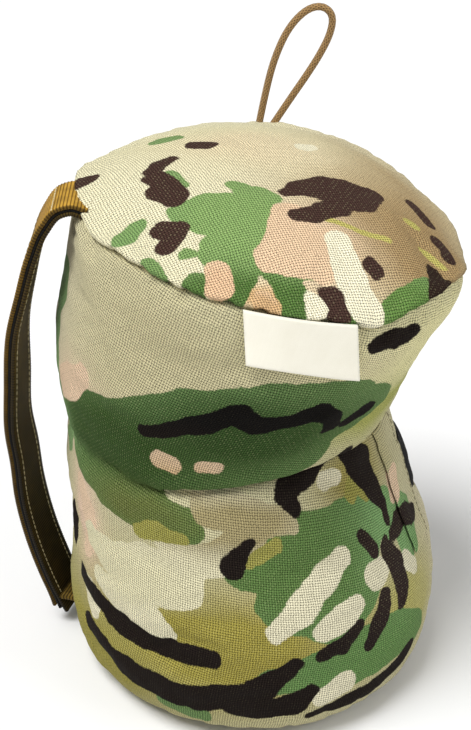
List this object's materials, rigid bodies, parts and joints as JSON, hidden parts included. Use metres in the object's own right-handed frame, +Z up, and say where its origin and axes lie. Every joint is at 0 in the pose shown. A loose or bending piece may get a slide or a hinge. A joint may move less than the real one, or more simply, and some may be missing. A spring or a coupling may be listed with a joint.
{
  "type": "fabric support bag",
  "caption": "Soft drum-shaped bag filled with light beads, with a domed top, a side carry strap, a cord loop, a folded label and a hook-and-loop filling flap.",
  "frame": {"origin": "centre of the flat underside, where the bag rests", "axes": "+Z up; -Y is the front with the label; -X is the side with the carry strap; the top leans down to +X"},
  "size_m": [0.2116, 0.1845, 0.308],
  "materials": {
    "camouflage_fabric": "woven nylon, printed, matte",
    "liner_fabric": "plain thin cloth",
    "filling_beads": "small light beads",
    "sewing_thread": "nylon thread",
    "black_tape": "hook-and-loop tape",
    "label_cloth": "smooth woven ribbon",
    "tan_webbing": "ribbed nylon webbing",
    "black_webbing": "ribbed nylon webbing",
    "tan_cord": "braided nylon cord"
  },
  "bodies": {
    "bag": {"side_panel": "camouflage_fabric", "top_panel": "camouflage_fabric", "bottom_panel": "camouflage_fabric", "fill_liner": "liner_fabric", "bead_fill": "filling_beads", "top_seam_thread": "sewing_thread", "bottom_seam_thread": "sewing_thread", "side_seam_allowance": "camouflage_fabric", "side_seam_thread": "sewing_thread", "loop_tape": "black_tape", "strap_top_end": "tan_webbing", "strap_bottom_end": "tan_webbing", "pull_loop_ends": "tan_cord"},
    "strap": {"strap_outer_webbing": "tan_webbing", "strap_core_webbing": "black_webbing", "strap_inner_webbing": "tan_webbing", "strap_stitching": "sewing_thread"},
    "cord_loop": {"pull_loop": "tan_cord"},
    "label_leaf": {"label": "label_cloth"},
    "flap": {"closure_flap": "camouflage_fabric", "hook_tape": "black_tape", "flap_stitching": "sewing_thread"}
  },
  "joints": [
    {"name": "strap_swing", "type": "hinge", "parent": "bag", "child": "strap", "pos_m": [-0.0943, -0.00056, 0.13372], "axis": [0.0327, -0.1348, 0.9903], "range_deg": [-18, 22], "stiffness_Nm_per_rad": 0.03},
    {"name": "loop_tilt", "type": "hinge", "parent": "bag", "child": "cord_loop", "pos_m": [0.0065, 0.09033, 0.2485], "axis": [1, 0, 0], "range_deg": [-110, 45], "stiffness_Nm_per_rad": 0.01},
    {"name": "label_lift", "type": "hinge", "parent": "bag", "child": "label_leaf", "pos_m": [0.01836, -0.08825, 0.23549], "axis": [-0.9757, -0.1253, 0.1796], "range_deg": [0, 130]},
    {"name": "flap_open", "type": "hinge", "parent": "bag", "child": "flap", "pos_m": [0.0682, -0.0295, 0.107], "axis": [0.3192, 0, -0.9477], "range_deg": [0, 150]}
  ]
}
